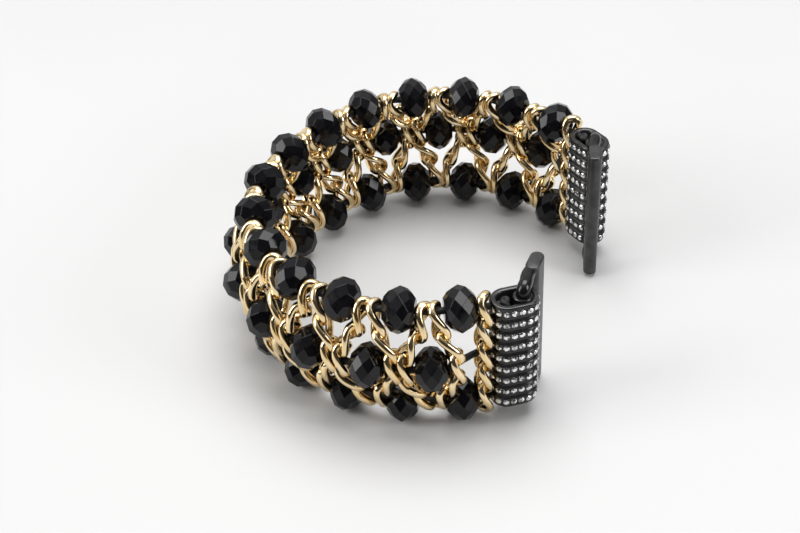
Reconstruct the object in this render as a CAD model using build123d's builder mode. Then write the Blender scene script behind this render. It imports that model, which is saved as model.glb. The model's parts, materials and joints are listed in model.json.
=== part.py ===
from build123d import *
from math import cos, radians, sin, sqrt
import os

# Stretch bead band for the wrist, at rest in the curved shape in which it stands on its edge.
# Millimetres, +Z up, origin under the middle of the band's box.
# Three elastic cords carry 41 cut glass beads and 28 pieces of curb chain, five links each.
# Fourteen columns follow each other round the wrist. A column is one top and one bottom bead
# with the two chains that lead from its neighbouring gaps to the middle cord below it. The
# middle row's beads sit at the bends between the columns.

# Cut glass beads
bead_dia = 8.0
bead_len = 5.3
lozenge_width = 2.2
table_dia = 4.1
bead_bore = 1.5
facet_count = 8
bead_turn_step = 17.0

# Elastic cords, with a knot at each end
cord_dia = 1.2
cord_sides = 6
knot_dia = 1.9
knot_len = 1.6
knot_start = 0.6

# Curb links, measured on the outside, and how loosely they hang in each other
link_len = 7.3
link_width = 4.26
wire_dia = 0.98
wire_sides = 4
end_slant_share = 0.55
link_play = 0.48
middle_play = 0.76
cord_play = 0.11

# Net of columns and rows
column_pitch = 9.9
row_gap = 9.9
middle_out = 2.9
middle_swing = 5.5
middle_link_out = 3.0
end_gap = 2.3
end_link_out = 0.35
gap_link_offset = 0.94
middle_link_offset = 1.11
first_heading = 193.0
bends = [9.0, 14.0, 19.0, 19.0, 19.0, 21.0, 20.0, 15.0, 12.0, 17.0, 21.0, 21.0, 18.0, 17.0, 8.0]

# Turn of the links about their own length, counted from square to the cord: the link on the
# top or bottom cord, the one that slants to the middle, and the upright one on the middle cord
left_tilts = [15.0, -31.5, 16.0]
right_tilts = [19.0, -31.5, 17.5]
end_link_tilt = 21.0

# Connectors: oval tubes, open at both ends, with ridges that carry the stones
tube_len = 8.0
tube_width = 5.6
rim_over_row = 1.0
tube_wall = 0.6
round_end_steps = 4
ridge_count = 9
groove_width = 0.9
groove_depth = 0.4
rim_height = 0.8
cord_hole = 1.5
overrun = 1.0

# Lug adapters, each with the pin that it swivels on
pin_dia = 1.6
pin_clearance = 0.15
pin_head_dia = 2.4
pin_head_height = 0.4
sleeve_wall = 0.7
sleeve_sink = 0.1
eye_dia = 3.6
arm_thick = 1.9
arm_width = 2.4
arm_gap = 0.25
arm_bulge = 0.8
lug_reach = 6.4
lug_thick = 2.4
lug_depth = 4.8
lug_overhang = 0.25
lug_swivel_a = 54.0
lug_swivel_b = -40.0

os.makedirs("parts", exist_ok=True)

# Sizes that follow from the ones above
wire_radius = wire_dia / 2
path_half_len = (link_len - wire_dia) / 2
path_half_width = (link_width - wire_dia) / 2
end_slant = end_slant_share * path_half_width
hole_half_len = path_half_len - wire_radius * sqrt(path_half_width**2 + end_slant**2) / path_half_width
cord_seat = cord_dia / 2 + cord_play
link_step = 2 * hole_half_len - link_play
column_count = len(bends) - 1
tube_height = 2 * (row_gap + rim_over_row)
gap_reach = column_pitch / 2 - gap_link_offset
end_reach = (bead_len + end_gap) / 2


def heading_step(heading, distance):
    return Vector(distance * cos(radians(heading)), distance * sin(radians(heading)), 0)


# Plan of the band: a heading for each connector and column, and the points of the bends
headings = [first_heading]
for bend in bends:
    headings.append(headings[-1] - bend)

bend_points = [Vector(0, 0, 0)]
column_planes = []
for column in range(column_count):
    heading = headings[column + 1]
    before = bead_len / 2 + end_gap if column == 0 else column_pitch / 2
    after = bead_len / 2 + end_gap if column == column_count - 1 else column_pitch / 2
    middle = bend_points[-1] + heading_step(heading, before)
    column_planes.append(Plane(origin=middle, x_dir=heading_step(heading, 1), z_dir=(0, 0, 1)))
    bend_points.append(middle + heading_step(heading, after))

connector_planes = [
    Plane(origin=bend_points[0], x_dir=heading_step(headings[0], -1), z_dir=(0, 0, 1)),
    Plane(origin=bend_points[-1], x_dir=heading_step(headings[-1], 1), z_dir=(0, 0, 1)),
]

# One bead, ground from a cylinder: a belt of lozenges, then kites and triangles up to the
# flat table on each side, and a bore along the cord
bead_radius = bead_dia / 2
table_radius = table_dia / 2
facet_angle = 360 / facet_count
half_share = cos(radians(facet_angle / 2))
belt_radius = bead_radius * half_share
belt_half = lozenge_width / 2
kite_drop = bead_radius - belt_radius * half_share
crown_radius = table_radius * half_share

with BuildPart() as bead_form:
    Cylinder(bead_radius, bead_len, rotation=(0, 90, 0))
    for facet in range(facet_count):
        angle = radians(facet * facet_angle)
        mid_angle = angle + radians(facet_angle / 2)
        out = Vector(0, cos(angle), sin(angle))
        mid_out = Vector(0, cos(mid_angle), sin(mid_angle))
        split(bisect_by=Plane(origin=mid_out * belt_radius, z_dir=mid_out), keep=Keep.BOTTOM)
        for side in (1, -1):
            kite = out * belt_half + Vector(side * kite_drop, 0, 0)
            split(bisect_by=Plane(origin=out * bead_radius, z_dir=kite), keep=Keep.BOTTOM)
            rise = bead_len / 2 - belt_half
            crown = mid_out * rise + Vector(side * (belt_radius - crown_radius), 0, 0)
            corner = mid_out * belt_radius + Vector(side * belt_half, 0, 0)
            split(bisect_by=Plane(origin=corner, z_dir=crown), keep=Keep.BOTTOM)
    with BuildSketch(Plane.YZ.offset(-bead_len / 2)):
        RegularPolygon(bead_bore / 2, cord_sides, major_radius=False)
    extrude(amount=bead_len, mode=Mode.SUBTRACT)

# One curb link: an oblong ring of wire, cut with bright flats along its four edges
end_run = path_half_len - end_slant

with BuildPart() as link_form:
    with BuildLine() as link_path:
        Polyline(
            (end_run, path_half_width), (-end_run, path_half_width), (-path_half_len, 0),
            (-end_run, -path_half_width), (end_run, -path_half_width), (path_half_len, 0),
            close=True,
        )
    with BuildSketch(Plane(origin=link_path.line @ 0, z_dir=link_path.line % 0)):
        RegularPolygon(wire_radius, wire_sides)
    sweep(path=link_path.line, transition=Transition.RIGHT)


def link_place(centre, direction, tilt):
    direction = direction.normalized()
    square = Vector(cos(radians(tilt)), -sin(radians(tilt)), 0)
    return Plane(origin=centre, x_dir=direction, z_dir=square - direction * square.dot(direction))


def both_halves(upper, tilts, middle):
    """The upper half's link centres and directions, the middle link, and the lower half."""
    places = [link_place(middle, Vector(0, 0, 1), tilts[-1])]
    for (centre, direction), tilt in zip(upper, tilts):
        places.append(link_place(centre, direction, tilt))
        low_centre = Vector(centre.X, centre.Y, -centre.Z)
        low_direction = Vector(direction.X, direction.Y, -direction.Z)
        places.append(link_place(low_centre, low_direction, tilt))
    return places


def net_chain(side):
    """Five links that hang from the gap on one side, by way of the middle cord."""
    top = Vector(side * gap_reach, 0, row_gap)
    middle = Vector(side * middle_link_offset, middle_link_out, 0)
    low = middle + Vector(0, 0, hole_half_len - middle_play / 2)
    first_len = 2 * hole_half_len - cord_seat - link_play / 2
    side_len = 2 * hole_half_len - (link_play + middle_play) / 2
    span = low - top
    run = (first_len**2 - side_len**2 + span.length**2) / (2 * span.length)
    sag = sqrt(first_len**2 - run**2)
    line = span.normalized()
    outward = Vector(side, 0, 0)
    sag_way = (outward - line * outward.dot(line)).normalized()
    joint = top + line * run + sag_way * sag
    cord_way = (top - joint).normalized()
    cord_link = joint + cord_way * (hole_half_len - link_play / 2)
    side_way = (joint - low).normalized()
    side_link = joint - side_way * (hole_half_len - link_play / 2)
    upper = [(cord_link, cord_way), (side_link, side_way)]
    return both_halves(upper, left_tilts if side < 0 else right_tilts, middle)


def end_chain(side):
    """Five links that hang straight down beside a connector."""
    middle = Vector(side * end_reach, end_link_out, 0)
    side_link = middle + Vector(0, 0, link_step)
    upper = [(side_link + Vector(0, 0, link_step), Vector(0, 0, 1)), (side_link, Vector(0, 0, 1))]
    return both_halves(upper, [end_link_tilt, -end_link_tilt, end_link_tilt], middle)


finished = []

# The links of each column, ten separate solids in one node
for column in range(column_count):
    left = end_chain(-1) if column == 0 else net_chain(-1)
    right = end_chain(1) if column == column_count - 1 else net_chain(1)
    places = [column_planes[column].location * place.location for place in left + right]
    with BuildPart() as links:
        with Locations(*places):
            add(link_form.part)
    links.part.label = f"chain_links_{column + 1:02d}"
    finished.append(links.part)

# The beads: a top and a bottom one in each column, and a middle one at each bend
bead_places = []
for column in range(column_count):
    for row, level in (("top", row_gap), ("bottom", -row_gap)):
        place = column_planes[column].offset(level)
        bead_places.append((f"bead_{row}_{column + 1:02d}", place))

middle_planes = []
for bend in range(1, column_count):
    heading = headings[bend] - middle_swing
    centre = bend_points[bend] + heading_step(heading + 90, middle_out)
    place = Plane(origin=centre, x_dir=heading_step(heading, 1), z_dir=(0, 0, 1))
    middle_planes.append(place)
    bead_places.append((f"bead_middle_{bend:02d}", place))

for number, (name, place) in enumerate(bead_places):
    with BuildPart() as bead:
        with Locations(place.location * Location((0, 0, 0), (number * bead_turn_step, 0, 0))):
            add(bead_form.part)
    bead.part.label = name
    finished.append(bead.part)

# The connectors, with the sleeve for the pin at the end away from the beads
inner_inset = groove_depth + tube_wall
sleeve_dia = pin_dia + 2 * (pin_clearance + sleeve_wall)
pin_reach = tube_len - inner_inset - sleeve_dia / 2 + sleeve_sink
groove_end = tube_height / 2 - rim_height - groove_width / 2
ridge_pitch = 2 * groove_end / ridge_count
cord_levels = (-row_gap, 0, row_gap)


def oval_corners(inset):
    """Corners of the tube's outline, drawn in by inset, starting at the band's end."""
    radius = tube_width / 2
    reach = radius - inset
    corners = []
    for centre_x, start in ((radius, 90), (tube_len - radius, 270)):
        for step in range(round_end_steps + 1):
            angle = radians(start + step * 180 / round_end_steps)
            corners.append((centre_x + reach * cos(angle), reach * sin(angle)))
    return corners


for letter, plane in zip("ab", connector_planes):
    with BuildPart() as connector:
        # The outside runs from ridge to groove and back, from the lower rim to the upper one
        sections = [(-tube_height / 2, 0)]
        for groove in range(ridge_count + 1):
            level = groove * ridge_pitch - groove_end
            sections.append((level - groove_width / 2, 0))
            sections.append((level, groove_depth))
            sections.append((level + groove_width / 2, 0))
        sections.append((tube_height / 2, 0))
        for level, inset in sections:
            with BuildSketch(plane.offset(level)):
                Polygon(*oval_corners(inset), align=None)
        loft(ruled=True)
        with BuildSketch(plane):
            Polygon(*oval_corners(inner_inset), align=None)
        extrude(amount=tube_height / 2, both=True, mode=Mode.SUBTRACT)
        with BuildSketch(plane):
            with Locations((pin_reach, 0)):
                Circle(sleeve_dia / 2)
        extrude(amount=tube_height / 2, both=True)
        with BuildSketch(plane):
            with Locations((pin_reach, 0)):
                Circle(pin_dia / 2 + pin_clearance)
        extrude(amount=tube_height / 2, both=True, mode=Mode.SUBTRACT)
        # A hole in the end wall for each cord
        for level in cord_levels:
            start = plane.offset(level).origin - plane.x_dir * overrun
            with BuildSketch(Plane(origin=start, z_dir=plane.x_dir)):
                RegularPolygon(cord_hole / 2, cord_sides, major_radius=False)
            extrude(amount=overrun + tube_width / 2, mode=Mode.SUBTRACT)
    connector.part.label = f"connector_{letter}"
    finished.append(connector.part)

# The lug adapters: a bar with rounded ends, two curved arms and a pin
arm_level = tube_height / 2 + arm_gap
lug_half = arm_level + arm_thick + lug_overhang
lug_turns = (lug_swivel_a, lug_swivel_b)
arm_middles = (arm_bulge, -arm_bulge)
for letter, plane, swivel, arm_middle in zip("ab", connector_planes, lug_turns, arm_middles):
    pin_point = plane.origin + plane.x_dir * pin_reach
    lug_plane = Plane(origin=pin_point, x_dir=plane.x_dir.rotate(Axis.Z, swivel), z_dir=(0, 0, 1))
    with BuildPart() as lug:
        with BuildSketch(lug_plane):
            with Locations((lug_reach, 0)):
                SlotOverall(lug_depth, lug_thick)
        extrude(amount=lug_half, both=True)
        for side in (1, -1):
            with BuildSketch(lug_plane.offset(side * arm_level)):
                with BuildLine():
                    ThreePointArc((0, 0), (lug_reach / 2, arm_middle), (lug_reach, 0))
                trace(line_width=arm_width)
                Circle(eye_dia / 2)
            extrude(amount=side * arm_thick)
        with BuildSketch(lug_plane):
            Circle(pin_dia / 2)
        extrude(amount=arm_level + arm_thick, both=True, mode=Mode.SUBTRACT)
    with BuildPart() as pin:
        with BuildSketch(lug_plane):
            Circle(pin_dia / 2)
        extrude(amount=arm_level + arm_thick, both=True)
        for side in (1, -1):
            with BuildSketch(lug_plane.offset(side * (arm_level + arm_thick))):
                Circle(pin_head_dia / 2)
            extrude(amount=side * pin_head_height)
    adapter = Compound(children=[lug.part, pin.part], label=f"lug_adapter_{letter}")
    finished.append(adapter)

# The cords: straight through every bead, with a knot inside each connector
knot_reach = inner_inset + knot_start


def cord_route(level):
    start = connector_planes[0].origin + connector_planes[0].x_dir * knot_reach
    end = connector_planes[1].origin + connector_planes[1].x_dir * knot_reach
    if level:
        points = [start, *bend_points, end]
    else:
        points = [start, bend_points[0], column_planes[0].from_local_coords((-end_reach, 0, 0))]
        points.append(column_planes[0].from_local_coords((0, middle_link_out, 0)))
        for place in middle_planes:
            for side in (-1, 1):
                points.append(place.from_local_coords((side * bead_len / 2, 0, 0)))
        points.append(column_planes[-1].from_local_coords((0, middle_link_out, 0)))
        points.append(column_planes[-1].from_local_coords((end_reach, 0, 0)))
        points += [bend_points[-1], end]
    return [Vector(point.X, point.Y, level) for point in points]


with BuildPart() as cords:
    for level in cord_levels:
        with BuildLine() as route:
            Polyline(*cord_route(level))
        with BuildSketch(Plane(origin=route.line @ 0, z_dir=route.line % 0)):
            RegularPolygon(cord_dia / 2, cord_sides)
        sweep(path=route.line, transition=Transition.RIGHT)
        for plane in connector_planes:
            start = plane.offset(level).origin + plane.x_dir * knot_reach
            with BuildSketch(Plane(origin=start, z_dir=plane.x_dir)):
                RegularPolygon(knot_dia / 2, cord_sides)
            extrude(amount=knot_len)
cords.part.label = "elastic_cords"
finished.append(cords.part)

# The origin goes under the middle of the whole, and every piece is written
box = finished[0].bounding_box()
for piece in finished:
    box = box.add(piece.bounding_box())
shift = Vector(-box.center().X, -box.center().Y, -box.min.Z)
for piece in finished:
    export_step(piece.moved(Location(shift)), f"parts/{piece.label}.step")

for number, point in enumerate(bend_points):
    print("bend", number, tuple(round(value, 4) for value in point + shift))
for letter, plane in zip("ab", connector_planes):
    print("pin", letter, tuple(round(value, 4) for value in plane.origin + plane.x_dir * pin_reach + shift))
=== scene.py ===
import json
import math

import bpy
import numpy as np
from mathutils import Matrix, Vector


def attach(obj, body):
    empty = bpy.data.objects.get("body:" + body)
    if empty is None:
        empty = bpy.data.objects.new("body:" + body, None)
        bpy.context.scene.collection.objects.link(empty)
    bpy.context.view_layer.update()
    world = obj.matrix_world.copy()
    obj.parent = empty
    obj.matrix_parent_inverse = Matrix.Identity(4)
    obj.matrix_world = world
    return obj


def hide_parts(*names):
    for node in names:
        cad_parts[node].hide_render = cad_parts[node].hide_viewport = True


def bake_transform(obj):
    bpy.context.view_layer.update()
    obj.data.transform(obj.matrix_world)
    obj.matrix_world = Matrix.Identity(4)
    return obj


# The bead band's looks, built round its shared frame. All lengths are in metres, angles in degrees.
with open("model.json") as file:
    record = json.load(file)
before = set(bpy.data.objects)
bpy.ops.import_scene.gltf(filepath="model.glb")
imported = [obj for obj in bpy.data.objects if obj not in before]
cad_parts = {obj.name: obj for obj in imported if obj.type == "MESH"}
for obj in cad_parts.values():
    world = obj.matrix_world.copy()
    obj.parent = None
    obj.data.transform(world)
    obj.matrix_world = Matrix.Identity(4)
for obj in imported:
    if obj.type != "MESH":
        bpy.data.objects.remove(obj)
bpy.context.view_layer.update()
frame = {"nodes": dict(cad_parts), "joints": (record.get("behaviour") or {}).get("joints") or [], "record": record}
MM = 0.001
HALF = 0.5

# Camera, as the photograph was taken
CAMERA_PLACE = Vector((-4.6 * MM, -220.7 * MM, 187.3 * MM))
CAMERA_YAW = 0.22
CAMERA_DIP = 39.15
CAMERA_ROLL = -2.67
FOCAL_PIXELS = 1554.0
PICTURE_WIDTH = 800
SENSOR_WIDTH = 36.0
CLIP_START = 10 * MM

# Beads
BEAD_LEN = 5.3 * MM
BEAD_EDGE = 0.03 * MM
FACET_ANGLE = 8.0
FLAT_ANGLE = 1.0
# Points closer than this are one point
WELD_GAP = 0.001 * MM

# Curb links: the hole of a link, the wire round it, how squarely the wire and the oval are
# rounded, the twist from end to end, how much more a link that leans with the cord is twisted,
# and its tilt from the cord
HOLE_LEN = 4.5 * MM
HOLE_WIDTH = 1.8 * MM
WIRE_DIA = 1.42 * MM
WIRE_FLATNESS = 2.5
OVAL_POWER = 2.5
LINK_TWIST = -98.0
LEAN_TWIST = 55.0
LINK_TILT = 8.0
LINK_STEPS = 56
WIRE_STEPS = 16

# Elastic cords. Shares of the way from the band end to the pin: where a cord ends and where its
# knot lies. Shares of a gap: where the middle cord passes the first chain.
CORD_DIA = 1.2 * MM
CORD_SIDES = 14
CURVE_STEPS = 6
CORD_END_SHARE = 0.3
KNOT_SHARE = 0.44
CHAIN_SHARE = 0.25
KNOT_CORD = 0.9 * MM
KNOT_SCALE = 0.45 * MM
KNOT_LEN_SHARE = 0.9
KNOT_WIDTH_SHARE = 0.55
KNOT_STEPS = 72
CORD_SHARP = 60.0

# Connectors
TUBE_LEN = 8.0 * MM
TUBE_WIDTH = 5.6 * MM
TUBE_HEIGHT = 21.8 * MM
TUBE_WALL = 0.6 * MM
RIDGES = 9
GROOVE_WIDTH = 1.05 * MM
GROOVE_DEPTH = 0.4 * MM
# Points of a groove: shares of its width from its middle, and of its depth there
GROOVE_SHAPE = ((-0.5, 0.0), (-0.36, 0.35), (-0.24, 0.9), (0.0, 1.0),
                (0.24, 0.9), (0.36, 0.35), (0.5, 0.0))
RIM_ROUND = 0.2 * MM
RIM_SHARE = 0.3
TUBE_SIDES = 160
SLEEVE_DIA = 3.3 * MM
SLEEVE_BORE = 1.9 * MM
SLEEVE_EDGE = 0.12 * MM
SLEEVE_SIDES = 32
SLEEVE_SHARP = 30.0
PLATE_SHARP = 50.0

# Stones
STONE_DIA = 1.16 * MM
STONE_PITCH = 1.3 * MM
STONE_RISE = 0.26 * MM
STONE_TABLE_SHARE = 0.58
GIRDLE_SHARE = 0.35
STONE_SIDES = 8
SEAT_DIA = 1.3 * MM
SEAT_RISE = 0.12 * MM
SEAT_SIDE_SHARE = 0.97
SEAT_STEP_SHARE = 0.6
SEAT_MOUTH_SHARE = 0.98

# Lug adapters: a bar with round sides, and two bent arms of thick wire on a pin
LUG_DEPTH = 4.8 * MM
LUG_THICK = 2.4 * MM
LUG_HALF = 13.3 * MM
LUG_EDGE = 0.35 * MM
LUG_REACH = 6.4 * MM
ARM_LEVEL = 12.1 * MM
ARM_FOOT = 11.0 * MM
ARM_DIA = 2.3 * MM
ARM_BULGE = 0.3 * MM
ARM_STEPS = 24
ARM_TURN_STEPS = 8
ARM_SIDES = 28
BAR_SIDES = 80
EDGE_STEPS = 5
PIN_SHOW = 0.5 * MM
PIN_STEP_SHARE = 0.2
PIN_DIA = 1.6 * MM

# Looks: the tones or colours that a surface's noise runs through, each with the share of the
# noise where it is reached
GLASS_TONES = ((0.3, (0.002, 0.002, 0.003, 1)), (0.75, (0.006, 0.006, 0.007, 1)))
GLASS_ROUGHNESS = ((0.3, 0.07), (0.8, 0.15))
GOLD_TONES = ((0.3, (0.82, 0.61, 0.31, 1)), (0.7, (0.95, 0.77, 0.49, 1)))
GOLD_ROUGHNESS = ((0.3, 0.09), (0.75, 0.18))
CONNECTOR_TONES = ((0.3, 0.035), (0.75, 0.07))
CONNECTOR_ROUGHNESS = ((0.3, 0.22), (0.8, 0.34))
LUG_TONES = ((0.3, 0.02), (0.75, 0.045))
LUG_ROUGHNESS = ((0.3, 0.12), (0.8, 0.2))
BAR_TONES = ((0.3, 0.045), (0.75, 0.08))
BAR_ROUGHNESS = ((0.3, 0.3), (0.8, 0.42))
# Stones: painted reflections, the colour running cell by cell from dark to bright for facets that mirror dark and
# bright surroundings
STONE_PAINTED_GLINT_TONES = ((0.2, 0.12), (0.38, 0.8), (0.8, 1.0))
STONE_ROUGHNESS = ((0.3, 0.15), (0.8, 0.35))
PAINTED_GLINT_SCALE = 2600.0
ELASTIC_TONES = ((0.3, 0.008), (0.75, 0.03))
ELASTIC_ROUGHNESS = ((0.3, 0.5), (0.8, 0.75))
TABLE_TONES = ((0.3, 0.52), (0.7, 0.55))
TABLE_ROUGHNESS = ((0.3, 0.4), (0.7, 0.5))

# Floor and lights: each light's place, the point that it faces, its two sides and its power
FLOOR_SIZE = 3.0
FLOOR_CELLS = 4
LIGHTS = {
    "soft_above": ((0.05, 0.15, 0.6), (0, 0, 0), (0.5, 0.4), 3.8),
    "soft_left": ((-0.5, -0.1, 0.3), (0, 0, 0.01), (0.25, 0.4), 2.0),
    "soft_right": ((0.45, -0.2, 0.25), (0, 0, 0.01), (0.2, 0.3), 1.2),
}
# The room is brightest this way, and darker the further from it, by the cosine
ROOM_WAY = (-0.15, 0.55, 0.82)
ROOM_TONES = ((0.05, 0.06), (0.35, 0.25), (0.75, 1.0))
ROOM_STRENGTH = 0.8
BACKDROP_TONE = 0.8


# Materials
def new_material(name, **values):
    """A Principled material with its plain values set, and its nodes and shader."""
    material = bpy.data.materials.new(name)
    material.use_nodes = True
    nodes = material.node_tree.nodes
    shader = nodes["Principled BSDF"]
    for key, value in values.items():
        shader.inputs[key.replace("_", " ")].default_value = value
    return material, nodes, shader


def add_noise(material, nodes, scale, detail):
    """Noise in object coordinates, which stay put on the surface."""
    place = nodes.new("ShaderNodeTexCoord")
    noise = nodes.new("ShaderNodeTexNoise")
    noise.inputs["Scale"].default_value = scale
    noise.inputs["Detail"].default_value = detail
    material.node_tree.links.new(place.outputs["Object"], noise.inputs["Vector"])
    return noise


def grey(value):
    """An opaque grey of a tone."""
    return (value, value, value, 1.0)


def add_ramp(owner, nodes, source, stops, target):
    """A ramp of colours or grey tones, from one socket to another."""
    ramp = nodes.new("ShaderNodeValToRGB")
    marks = ramp.color_ramp.elements
    marks[0].position = stops[0][0]
    marks[1].position = stops[-1][0]
    for position, _ in stops[1:-1]:
        marks.new(position)
    for mark, (_, tone) in zip(marks, stops):
        mark.color = tone if isinstance(tone, tuple) else grey(tone)
    owner.node_tree.links.new(source, ramp.inputs["Fac"])
    owner.node_tree.links.new(ramp.outputs["Color"], target)


def add_bump(material, nodes, shader, source, strength, distance):
    """Small relief on a surface, driven by a socket."""
    bump = nodes.new("ShaderNodeBump")
    bump.inputs["Strength"].default_value = strength
    bump.inputs["Distance"].default_value = distance
    material.node_tree.links.new(source, bump.inputs["Height"])
    material.node_tree.links.new(bump.outputs["Normal"], shader.inputs["Normal"])


def glass_material():
    """Opaque black cut glass, with the faint haze and small unevenness of pressed beads."""
    material, nodes, shader = new_material("bead_black_glass", IOR=1.5, Specular_IOR_Level=0.25)
    haze = add_noise(material, nodes, scale=900.0, detail=3.0).outputs["Fac"]
    add_ramp(material, nodes, haze, GLASS_TONES, shader.inputs["Base Color"])
    add_ramp(material, nodes, haze, GLASS_ROUGHNESS, shader.inputs["Roughness"])
    ripple = add_noise(material, nodes, scale=420.0, detail=1.0).outputs["Fac"]
    add_bump(material, nodes, shader, ripple, strength=0.06, distance=0.05 * MM)
    return material


def gold_material():
    """Light gold plate, polished, a little deeper in colour here and there."""
    material, nodes, shader = new_material("chain_gold_plate", Metallic=1.0)
    cloud = add_noise(material, nodes, scale=260.0, detail=2.0).outputs["Fac"]
    add_ramp(material, nodes, cloud, GOLD_TONES, shader.inputs["Base Color"])
    fine = add_noise(material, nodes, scale=2600.0, detail=3.0).outputs["Fac"]
    add_ramp(material, nodes, fine, GOLD_ROUGHNESS, shader.inputs["Roughness"])
    add_bump(material, nodes, shader, cloud, strength=0.15, distance=0.05 * MM)
    return material


def gunmetal_material(name, tones, roughness):
    """Black plate over polished metal."""
    material, nodes, shader = new_material(name, Metallic=0.85)
    cloud = add_noise(material, nodes, scale=500.0, detail=3.0).outputs["Fac"]
    add_ramp(material, nodes, cloud, tones, shader.inputs["Base Color"])
    add_ramp(material, nodes, cloud, roughness, shader.inputs["Roughness"])
    add_bump(material, nodes, shader, cloud, strength=0.1, distance=0.04 * MM)
    return material


def stone_material():
    """Clear foil-backed stones: bright, with a few dark glints painted into the colour as facet reflections."""
    material, nodes, shader = new_material("clear_stone", Metallic=0.9)
    place = nodes.new("ShaderNodeTexCoord")
    glint = nodes.new("ShaderNodeTexVoronoi")
    glint.inputs["Scale"].default_value = PAINTED_GLINT_SCALE
    material.node_tree.links.new(place.outputs["Object"], glint.inputs["Vector"])
    # Painted reflections: dark and bright cells in the base colour stand for facets that mirror the room
    add_ramp(material, nodes, glint.outputs["Color"], STONE_PAINTED_GLINT_TONES, shader.inputs["Base Color"])
    add_ramp(material, nodes, glint.outputs["Color"], STONE_ROUGHNESS, shader.inputs["Roughness"])
    add_bump(material, nodes, shader, glint.outputs["Distance"], strength=0.5, distance=0.08 * MM)
    return material


def cord_material():
    """Black elastic, matt and slightly fibrous."""
    material, nodes, shader = new_material("cord_black_elastic", Specular_IOR_Level=0.3)
    fibre = add_noise(material, nodes, scale=3500.0, detail=4.0).outputs["Fac"]
    add_ramp(material, nodes, fibre, ELASTIC_TONES, shader.inputs["Base Color"])
    add_ramp(material, nodes, fibre, ELASTIC_ROUGHNESS, shader.inputs["Roughness"])
    add_bump(material, nodes, shader, fibre, strength=0.4, distance=0.05 * MM)
    return material


def floor_material():
    """Pale matt studio table."""
    material, nodes, shader = new_material("studio_table", Specular_IOR_Level=0.25)
    cloud = add_noise(material, nodes, scale=6.0, detail=2.0).outputs["Fac"]
    add_ramp(material, nodes, cloud, TABLE_TONES, shader.inputs["Base Color"])
    add_ramp(material, nodes, cloud, TABLE_ROUGHNESS, shader.inputs["Roughness"])
    return material


glass = glass_material()
gold = gold_material()
connector_metal = gunmetal_material("connector_black_plate", CONNECTOR_TONES, CONNECTOR_ROUGHNESS)
lug_metal = gunmetal_material("lug_black_plate", LUG_TONES, LUG_ROUGHNESS)
bar_metal = gunmetal_material("lug_satin_plate", BAR_TONES, BAR_ROUGHNESS)
stone = stone_material()
elastic = cord_material()


# Pieces
def new_piece(name, mesh, material, body, smooth=True):
    """A visible piece, which rides on its body if it has one of its own."""
    piece = bpy.data.objects.new(name, mesh)
    bpy.context.scene.collection.objects.link(piece)
    mesh.materials.append(material)
    for face in mesh.polygons:
        face.use_smooth = smooth
    if body:
        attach(piece, body)
    return piece


def mesh_from(name, points, faces):
    """A mesh of points and of faces that number them."""
    mesh = bpy.data.meshes.new(name)
    mesh.from_pydata([tuple(point) for point in points], [], faces)
    mesh.update()
    return mesh


def ring_faces(rings, sides, first=0, closed=False):
    """Faces between rings of points that follow each other, each ring with its sides."""
    faces = []
    for ring in range(rings if closed else rings - 1):
        here = first + ring * sides
        there = first + (ring + 1) % rings * sides
        for side in range(sides):
            after = (side + 1) % sides
            faces.append((here + side, here + after, there + after, there + side))
    return faces


def capped(rings, sides):
    """Faces of a tube of rings that is closed flat at both ends."""
    faces = ring_faces(rings, sides)
    faces.append(tuple(reversed(range(sides))))
    faces.append(tuple(range((rings - 1) * sides, rings * sides)))
    return faces


def tube_rings(route, radius, sides, closed=False):
    """Rings of points round a route, with no sudden turn from one to the next."""
    route = [Vector(point) for point in route]
    count = len(route)
    reaches = radius if isinstance(radius, list) else [radius] * count
    rings = []
    side_way = None
    for number, point in enumerate(route):
        before = route[number - 1] if number or closed else point
        after = route[(number + 1) % count] if number < count - 1 or closed else point
        way = (after - before).normalized()
        if side_way is None:
            side_way = way.orthogonal()
        side_way = (side_way - way * side_way.dot(way)).normalized()
        up = way.cross(side_way)
        for step in range(sides):
            angle = math.tau * step / sides
            rings.append(point + side_way * reaches[number] * math.cos(angle)
                         + up * reaches[number] * math.sin(angle))
    return rings


def rounded(value, power):
    """A share of an oval's reach, squarer the higher the power."""
    return math.copysign(abs(value) ** (2 / power), value)


joints = {joint["name"]: joint for joint in frame["joints"]}


def joint_point(name):
    """The point that a joint turns about."""
    return Vector(joints[name]["pos_m"])


# Beads: the frame's own cut beads, with their facets' edges just broken
for name, node in frame["nodes"].items():
    if name.startswith("bead"):
        node.data.materials.clear()
        node.data.materials.append(glass)
        weld = node.modifiers.new("join", "WELD")
        weld.merge_threshold = WELD_GAP
        flats = node.modifiers.new("flats", "DECIMATE")
        flats.decimate_type = "DISSOLVE"
        flats.angle_limit = math.radians(FLAT_ANGLE)
        bevel = node.modifiers.new("edges", "BEVEL")
        bevel.width = BEAD_EDGE
        bevel.segments = 1
        bevel.limit_method = "ANGLE"
        bevel.angle_limit = math.radians(FACET_ANGLE)


# Chain: smooth twisted links where the frame has its plain ones
def link_points(twist):
    """Points of one link round its own centre: long in x, flat in z, twisted about x."""
    reach_x = (HOLE_LEN + WIRE_DIA) / 2
    reach_y = (HOLE_WIDTH + WIRE_DIA) / 2
    points = []
    for step in range(LINK_STEPS):
        angle = math.tau * step / LINK_STEPS
        x = reach_x * rounded(math.cos(angle), OVAL_POWER)
        y = reach_y * rounded(math.sin(angle), OVAL_POWER)
        along = Vector((-reach_x * math.sin(angle), reach_y * math.cos(angle), 0)).normalized()
        across = Vector((along.y, -along.x, 0))
        turn = Matrix.Rotation(math.radians(twist) * x / (2 * reach_x), 3, "X")
        for side in range(WIRE_STEPS):
            wire = math.tau * side / WIRE_STEPS
            out = across * WIRE_DIA / 2 * rounded(math.cos(wire), WIRE_FLATNESS)
            rise = Vector((0, 0, WIRE_DIA / 2 * rounded(math.sin(wire), WIRE_FLATNESS)))
            points.append(turn @ (Vector((x, y, 0)) + out + rise))
    return points


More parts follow.
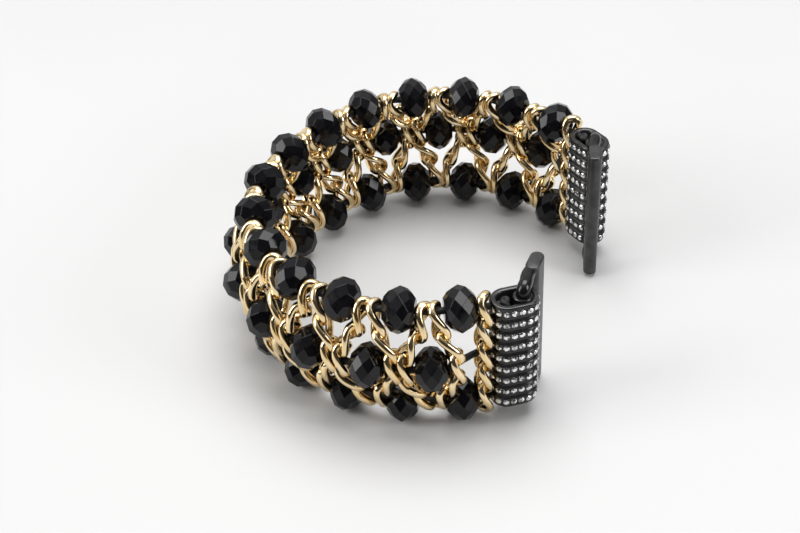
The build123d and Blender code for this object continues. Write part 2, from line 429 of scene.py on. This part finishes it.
def islands(mesh):
    """The points of each separate solid in a mesh."""
    owner = {}
    key_of = [tuple(round(value / WELD_GAP) for value in vertex.co) for vertex in mesh.vertices]

    def top(key):
        while owner[key] != key:
            owner[key] = owner[owner[key]]
            key = owner[key]
        return key

    for key in key_of:
        owner.setdefault(key, key)
    for face in mesh.polygons:
        keys = [key_of[index] for index in face.vertices]
        for key in keys[1:]:
            owner[top(key)] = top(keys[0])
    groups = {}
    for key in owner:
        groups.setdefault(top(key), []).append(Vector(key) * WELD_GAP)
    return list(groups.values())


def link_frame(points, cord_way):
    """Place of a link: x along its plain one, z across it, turned by the tilt from the cord."""
    cloud = np.array([tuple(point) for point in points])
    middle = cloud.mean(0)
    values, ways = np.linalg.eigh(np.cov((cloud - middle).T))
    long_way = Vector(ways[:, 2])
    if long_way.z < 0:
        long_way = -long_way
    flat_way = (cord_way - long_way * long_way.dot(cord_way)).normalized()
    flat_way.rotate(Matrix.Rotation(math.radians(LINK_TILT), 3, long_way))
    wide_way = flat_way.cross(long_way)
    turn = Matrix((long_way, wide_way, flat_way)).transposed().to_4x4()
    return Matrix.Translation(Vector(middle)) @ turn


link_faces = ring_faces(LINK_STEPS, WIRE_STEPS, closed=True)
for name, node in frame["nodes"].items():
    if name.startswith("chain_links"):
        points = []
        faces = []
        cord_way = Vector(joints[name.replace("chain_links", "spin_top")]["axis"])
        for island in islands(node.data):
            place = link_frame(island, cord_way)
            lean = place.to_3x3().col[0].dot(cord_way)
            first = len(points)
            points += [place @ point for point in link_points(LINK_TWIST + LEAN_TWIST * lean)]
            faces += [tuple(index + first for index in face) for face in link_faces]
        column = name.replace("chain_links_", "")
        chain = new_piece(f"curb_chain_{column}", mesh_from(name, points, faces), gold,
                          f"column_{column}")
        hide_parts(name)


# Cords: short pieces from bead to bead, each bending at the gap that it crosses
def new_cord(name, route):
    rings = tube_rings(route, CORD_DIA / 2, CORD_SIDES)
    mesh = mesh_from(name, rings, capped(len(route), CORD_SIDES))
    cord = new_piece(name, mesh, elastic, None)
    cord.data.set_sharp_from_angle(angle=math.radians(CORD_SHARP))
    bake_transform(cord)
    return cord


def curve_through(points):
    """Points of a smooth curve that passes through the given ones."""
    points = [Vector(point) for point in points]
    padded = [2 * points[0] - points[1], *points, 2 * points[-1] - points[-2]]
    route = []
    for first, second, third, fourth in zip(padded, padded[1:], padded[2:], padded[3:]):
        for step in range(CURVE_STEPS):
            share = step / CURVE_STEPS
            route.append((2 * second + (third - first) * share
                          + (2 * first - 5 * second + 4 * third - fourth) * share ** 2
                          + (3 * second - first - 3 * third + fourth) * share ** 3) / 2)
    return route + [points[-1]]


def bead_end(name, side):
    """Middle of a bead's end face, on the side that the cord enters (-1) or leaves (1)."""
    joint = joints[name]
    return Vector(joint["pos_m"]) + Vector(joint["axis"]) * side * BEAD_LEN / 2


def level_with(point, other):
    """A point moved up or down to the level of another."""
    return Vector((point.x, point.y, other.z))


columns = sum(name.startswith("spin_top") for name in joints)
last_bend = f"bend_{columns:02d}"
end_wall = {"a": joint_point("bend_00"), "b": joint_point(last_bend)}
pin_point = {"a": joint_point("lug_swivel_a"), "b": joint_point("lug_swivel_b")}
cord_end = {letter: end_wall[letter].lerp(pin_point[letter], CORD_END_SHARE) for letter in "ab"}
for row in ("top", "bottom"):
    for column in range(columns + 1):
        before = bead_end(f"spin_{row}_{column:02d}", 1) if column else None
        after = bead_end(f"spin_{row}_{column + 1:02d}", -1) if column < columns else None
        if before is None:
            before = level_with(cord_end["a"], after)
            body, bends_to = "connector_a", "column_01"
        elif after is None:
            after = level_with(cord_end["b"], before)
            body, bends_to = f"column_{columns}", "connector_b"
        else:
            body, bends_to = f"column_{column:02d}", f"column_{column + 1:02d}"
        bend = level_with(joint_point(f"bend_{column:02d}"), before)
        route = curve_through([before, bend, after])
        new_cord(f"cord_{row}_{column:02d}", route)

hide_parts("elastic_cords")

for column in range(1, columns - 1):
    before = bead_end(f"spin_middle_{column:02d}", 1)
    after = bead_end(f"spin_middle_{column + 1:02d}", -1)
    new_cord(f"cord_middle_{column:02d}", curve_through([before, before.lerp(after, HALF), after]))

# The middle cord's way from connector a to its first bead, and from its last bead to connector b
first_bead = bead_end("spin_middle_01", -1)
first_chain = joint_point("bend_00").lerp(joint_point("bend_01"), CHAIN_SHARE)
route = curve_through([cord_end["a"], end_wall["a"], first_chain, first_bead])
new_cord("cord_middle_00", route)

last_middle = columns - 1
last_bead = bead_end(f"spin_middle_{last_middle:02d}", 1)
last_chain = joint_point(f"bend_{last_middle:02d}").lerp(end_wall["b"], 1 - CHAIN_SHARE)
half_way = last_bead.lerp(last_chain, HALF)
route = curve_through([last_bead, last_bead.lerp(half_way, HALF), half_way])
new_cord(f"cord_middle_{last_middle:02d}", route)
route = curve_through([half_way, last_chain, end_wall["b"], cord_end["b"]])
new_cord(f"cord_middle_{columns:02d}", route)


def knot_route(middle):
    """A pulled overhand knot: a small closed loop that passes through itself."""
    route = []
    for step in range(KNOT_STEPS):
        angle = math.tau * step / KNOT_STEPS
        route.append(middle + KNOT_SCALE * Vector((
            -math.sin(3 * angle) * KNOT_LEN_SHARE,
            (math.sin(angle) + 2 * math.sin(2 * angle)) * KNOT_WIDTH_SHARE,
            (math.cos(angle) - 2 * math.cos(2 * angle)) * KNOT_WIDTH_SHARE)))
    return route


knot_faces = ring_faces(KNOT_STEPS, CORD_SIDES, closed=True)
for letter in "ab":
    for row in ("top", "middle", "bottom"):
        middle = end_wall[letter].lerp(pin_point[letter], KNOT_SHARE)
        middle = level_with(middle, joint_point(f"spin_{row}_01"))
        rings = tube_rings(knot_route(middle), KNOT_CORD / 2, CORD_SIDES, closed=True)
        name = f"knot_{row}_{letter}"
        new_piece(name, mesh_from(name, rings, knot_faces), elastic, f"connector_{letter}")


# Connectors: oval tubes with a flat rim, ridges and a sleeve for the pin
def tube_plane(letter):
    """Middle of a connector's band end, and the ways along it and across it."""
    along = pin_point[letter] - end_wall[letter]
    along.z = 0
    along.normalize()
    return end_wall[letter], along, UP.cross(along)


def oval(inset, count):
    """Places on the tube's outline, drawn in by inset, evenly spaced, with the way out there."""
    radius = TUBE_WIDTH / 2 - inset
    straight = TUBE_LEN - TUBE_WIDTH
    arc = math.pi * radius
    length = 2 * (straight + arc)
    places = []
    for number in range(count):
        run = length * number / count
        if run < arc:
            angle = math.pi / 2 + run / radius
            centre = TUBE_WIDTH / 2
        elif run < arc + straight:
            places.append((TUBE_WIDTH / 2 + run - arc, -radius, 0, -1))
            continue
        elif run < 2 * arc + straight:
            angle = 3 * math.pi / 2 + (run - arc - straight) / radius
            centre = TUBE_LEN - TUBE_WIDTH / 2
        else:
            places.append((TUBE_LEN - TUBE_WIDTH / 2 - (run - 2 * arc - straight), radius, 0, 1))
            continue
        out_x, out_y = math.cos(angle), math.sin(angle)
        places.append((centre + radius * out_x, radius * out_y, out_x, out_y))
    return places


RIDGE_PITCH = TUBE_HEIGHT / RIDGES
INNER_INSET = GROOVE_DEPTH + TUBE_WALL
UP = Vector((0, 0, 1))


def mirrored(profile):
    """The same points with their levels turned over, from the last to the first."""
    return [(reach, -level) for reach, level in reversed(profile)]


def tube_profile():
    """Insets and levels round the wall's section: up the ridged outside, down the inside."""
    half = TUBE_HEIGHT / 2
    corner = RIM_ROUND * RIM_SHARE
    profile = [(RIM_ROUND, -half), (corner, -half + corner), (0, -half + RIM_ROUND)]
    for groove in range(1, RIDGES):
        level = groove * RIDGE_PITCH - half
        for width_share, depth_share in GROOVE_SHAPE:
            profile.append((GROOVE_DEPTH * depth_share, level + GROOVE_WIDTH * width_share))
    profile += [(0, half - RIM_ROUND), (corner, half - corner), (RIM_ROUND, half)]
    profile += [(INNER_INSET - RIM_ROUND, half), (INNER_INSET, half - RIM_ROUND)]
    profile += [(INNER_INSET, -half + RIM_ROUND), (INNER_INSET - RIM_ROUND, -half)]
    return profile


def sleeve_shape(middle):
    """The sleeve, a straight upright tube with its edges just broken."""
    radius = SLEEVE_DIA / 2
    bore = SLEEVE_BORE / 2
    top = TUBE_HEIGHT / 2
    side = [(radius - SLEEVE_EDGE, -top), (radius, SLEEVE_EDGE - top)]
    inside = [(bore + SLEEVE_EDGE, top), (bore, top - SLEEVE_EDGE)]
    profile = side + mirrored(side) + inside + mirrored(inside)
    points = []
    for reach, level in profile:
        for step in range(SLEEVE_SIDES):
            angle = math.tau * step / SLEEVE_SIDES
            out = Vector((math.cos(angle), math.sin(angle), 0))
            points.append(middle + out * reach + UP * level)
    return points, ring_faces(len(profile), SLEEVE_SIDES, closed=True)


def add_stone(stone_data, seat_data, middle, out, along):
    """One cut stone: a girdle, a ring of crown facets and a flat table, in a raised seat."""
    up = out.cross(along)
    shapes = (
        (stone_data, ((STONE_DIA / 2, 0),
                      (STONE_DIA / 2, STONE_RISE * GIRDLE_SHARE),
                      (STONE_DIA / 2 * STONE_TABLE_SHARE, STONE_RISE))),
        (seat_data, ((SEAT_DIA / 2, -SEAT_RISE),
                     (SEAT_DIA / 2 * SEAT_SIDE_SHARE, SEAT_RISE * SEAT_STEP_SHARE),
                     (STONE_DIA / 2 * SEAT_MOUTH_SHARE, SEAT_RISE))),
    )
    for (shape_points, shape_faces), rings in shapes:
        first = len(shape_points)
        for number, (radius, rise) in enumerate(rings):
            for side in range(STONE_SIDES):
                angle = math.tau * (side + number % 2 / 2) / STONE_SIDES
                shape_points.append(middle + out * rise + along * radius * math.cos(angle)
                                    + up * radius * math.sin(angle))
        shape_faces += ring_faces(len(rings), STONE_SIDES, first)
        last = first + len(rings) * STONE_SIDES
        shape_faces.append(tuple(range(last - STONE_SIDES, last)))


profile = tube_profile()
tube_faces = ring_faces(len(profile), TUBE_SIDES, closed=True)
outline = 2 * (TUBE_LEN - TUBE_WIDTH) + math.pi * TUBE_WIDTH
stones = round(outline / STONE_PITCH)
for letter in "ab":
    origin, along, across = tube_plane(letter)
    body = f"connector_{letter}"
    points = []
    for inset, level in profile:
        for x, y, _, _ in oval(inset, TUBE_SIDES):
            points.append(origin + along * x + across * y + UP * level)
    tube = new_piece(f"connector_tube_{letter}", mesh_from("tube", points, tube_faces),
                     connector_metal, body)
    tube.data.set_sharp_from_angle(angle=math.radians(PLATE_SHARP))
    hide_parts(body)
    mesh = mesh_from("sleeve", *sleeve_shape(pin_point[letter]))
    sleeve = new_piece(f"connector_sleeve_{letter}", mesh, connector_metal, body)
    sleeve.data.set_sharp_from_angle(angle=math.radians(SLEEVE_SHARP))
    stone_data = ([], [])
    seat_data = ([], [])
    for ridge in range(RIDGES):
        level = (ridge + HALF) * RIDGE_PITCH - TUBE_HEIGHT / 2
        for x, y, out_x, out_y in oval(0, stones):
            middle = origin + along * x + across * y + UP * level
            out = (along * out_x + across * out_y).normalized()
            add_stone(stone_data, seat_data, middle, out, UP.cross(out))
    new_piece(f"connector_stones_{letter}", mesh_from("stones", *stone_data), stone,
              body, smooth=False)
    new_piece(f"connector_seats_{letter}", mesh_from("seats", *seat_data), connector_metal,
              body, smooth=False)


# Lug adapters: a bar with round sides, and two arms that bend over from the pin to it
def stadium(length, width, inset, count):
    """Places round an oblong outline with half-round ends, long in x, drawn in by inset."""
    radius = width / 2 - inset
    half = (length - width) / 2
    places = []
    for number in range(count):
        angle = math.tau * (number + HALF) / count
        places.append((math.copysign(half, math.cos(angle)) + radius * math.cos(angle),
                       radius * math.sin(angle)))
    return places


def bar_profile():
    """Insets and levels up the bar's side, whose two edges are rounded."""
    low = []
    for step in range(EDGE_STEPS + 1):
        angle = math.pi / 2 * step / EDGE_STEPS
        low.append((LUG_EDGE * (1 - math.sin(angle)), LUG_EDGE * (1 - math.cos(angle)) - LUG_HALF))
    return low + mirrored(low)


def arm_route(side, bulge):
    """The arm's line from the sleeve, over to the bar: along, across and up."""
    turn = ARM_LEVEL - ARM_FOOT
    route = [(0, 0, side * (ARM_FOOT - PIN_SHOW)),
             (0, 0, side * (ARM_FOOT - PIN_SHOW * PIN_STEP_SHARE))]
    for step in range(ARM_TURN_STEPS + 1):
        angle = math.pi / 2 * step / ARM_TURN_STEPS
        route.append((turn * (1 - math.cos(angle)), 0, side * (ARM_FOOT + turn * math.sin(angle))))
    for step in range(1, ARM_STEPS + 1):
        share = step / ARM_STEPS
        swing = bulge * (1 - math.cos(math.tau * share)) / 2
        route.append((turn + (LUG_REACH - turn) * share, swing, side * ARM_LEVEL))
    return route


mounts = {mount["name"]: Vector(mount["pos_m"]) for mount in frame["record"]["mounts"]}
profile = bar_profile()
bar_faces = capped(len(profile), BAR_SIDES)
for letter, bulge in (("a", ARM_BULGE), ("b", -ARM_BULGE)):
    origin = pin_point[letter]
    middle = mounts[f"lug_bar_{letter}"]
    body = f"lug_adapter_{letter}"
    along = (middle - origin).normalized()
    across = UP.cross(along)
    points = []
    for inset, level in profile:
        for x, y in stadium(LUG_DEPTH, LUG_THICK, inset, BAR_SIDES):
            points.append(middle + along * x + across * y + UP * level)
    mesh = mesh_from("bar", points, bar_faces)
    bar = new_piece(f"lug_bar_{letter}", mesh, bar_metal, body)
    bar.data.set_sharp_from_angle(angle=math.radians(PLATE_SHARP))
    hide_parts(body)
    for row, side in (("top", 1), ("bottom", -1)):
        route = [origin + along * x + across * y + UP * z for x, y, z in arm_route(side, bulge)]
        reaches = [PIN_DIA / 2] * 2 + [ARM_DIA / 2] * (len(route) - 2)
        rings = tube_rings(route, reaches, ARM_SIDES)
        mesh = mesh_from("arm", rings, capped(len(route), ARM_SIDES))
        arm = new_piece(f"lug_arm_{row}_{letter}", mesh, lug_metal, body)
        arm.data.set_sharp_from_angle(angle=math.radians(PLATE_SHARP))
    ends = [origin - UP * ARM_FOOT, origin + UP * ARM_FOOT]
    rings = tube_rings(ends, PIN_DIA / 2, ARM_SIDES)
    new_piece(f"lug_pin_{letter}", mesh_from("pin", rings, capped(len(ends), ARM_SIDES)),
              lug_metal, body)


# Camera
camera_data = bpy.data.cameras.new("camera")
camera = bpy.data.objects.new("camera", camera_data)
bpy.context.scene.collection.objects.link(camera)
camera_data.sensor_width = SENSOR_WIDTH
camera_data.lens = FOCAL_PIXELS / PICTURE_WIDTH * SENSOR_WIDTH
camera_data.clip_start = CLIP_START
camera.matrix_world = (
    Matrix.Translation(CAMERA_PLACE)
    @ Matrix.Rotation(math.radians(-CAMERA_YAW), 4, "Z")
    @ Matrix.Rotation(math.radians(90 - CAMERA_DIP), 4, "X")
    @ Matrix.Rotation(math.radians(CAMERA_ROLL), 4, "Z")
)
bpy.context.scene.camera = camera

# Floor
bpy.ops.mesh.primitive_grid_add(x_subdivisions=FLOOR_CELLS, y_subdivisions=FLOOR_CELLS, size=FLOOR_SIZE)
floor = bpy.context.object
floor.name = "studio_table"
floor.data.materials.append(floor_material())


# Lights: one large soft light above and two beside. The room is brightest above and behind
# and dark towards the front, which the polished pieces mirror, and plain where it shows itself.
def add_light(name, place, target, size, power):
    """A soft rectangular light that faces a point."""
    data = bpy.data.lights.new(name, "AREA")
    data.shape = "RECTANGLE"
    data.size, data.size_y = size
    data.energy = power
    light = bpy.data.objects.new(name, data)
    bpy.context.scene.collection.objects.link(light)
    light.location = place
    way = Vector(target) - Vector(place)
    light.rotation_euler = way.to_track_quat("-Z", "Y").to_euler()


for name, values in LIGHTS.items():
    add_light(name, *values)

world = bpy.data.worlds.new("studio")
bpy.context.scene.world = world
world.use_nodes = True
nodes = world.node_tree.nodes
links = world.node_tree.links
room = nodes["Background"]
room.inputs["Strength"].default_value = ROOM_STRENGTH
place = nodes.new("ShaderNodeTexCoord")
nearness = nodes.new("ShaderNodeVectorMath")
nearness.operation = "DOT_PRODUCT"
nearness.inputs[1].default_value = ROOM_WAY
links.new(place.outputs["Generated"], nearness.inputs[0])
add_ramp(world, nodes, nearness.outputs["Value"], ROOM_TONES, room.inputs["Color"])
backdrop = nodes.new("ShaderNodeBackground")
backdrop.inputs["Color"].default_value = grey(BACKDROP_TONE)
ray = nodes.new("ShaderNodeLightPath")
mix = nodes.new("ShaderNodeMixShader")
links.new(ray.outputs["Is Camera Ray"], mix.inputs["Fac"])
links.new(room.outputs["Background"], mix.inputs[1])
links.new(backdrop.outputs["Background"], mix.inputs[2])
links.new(mix.outputs["Shader"], nodes["World Output"].inputs["Surface"])

bpy.context.scene.view_settings.view_transform = "Standard"
bpy.context.view_layer.update()
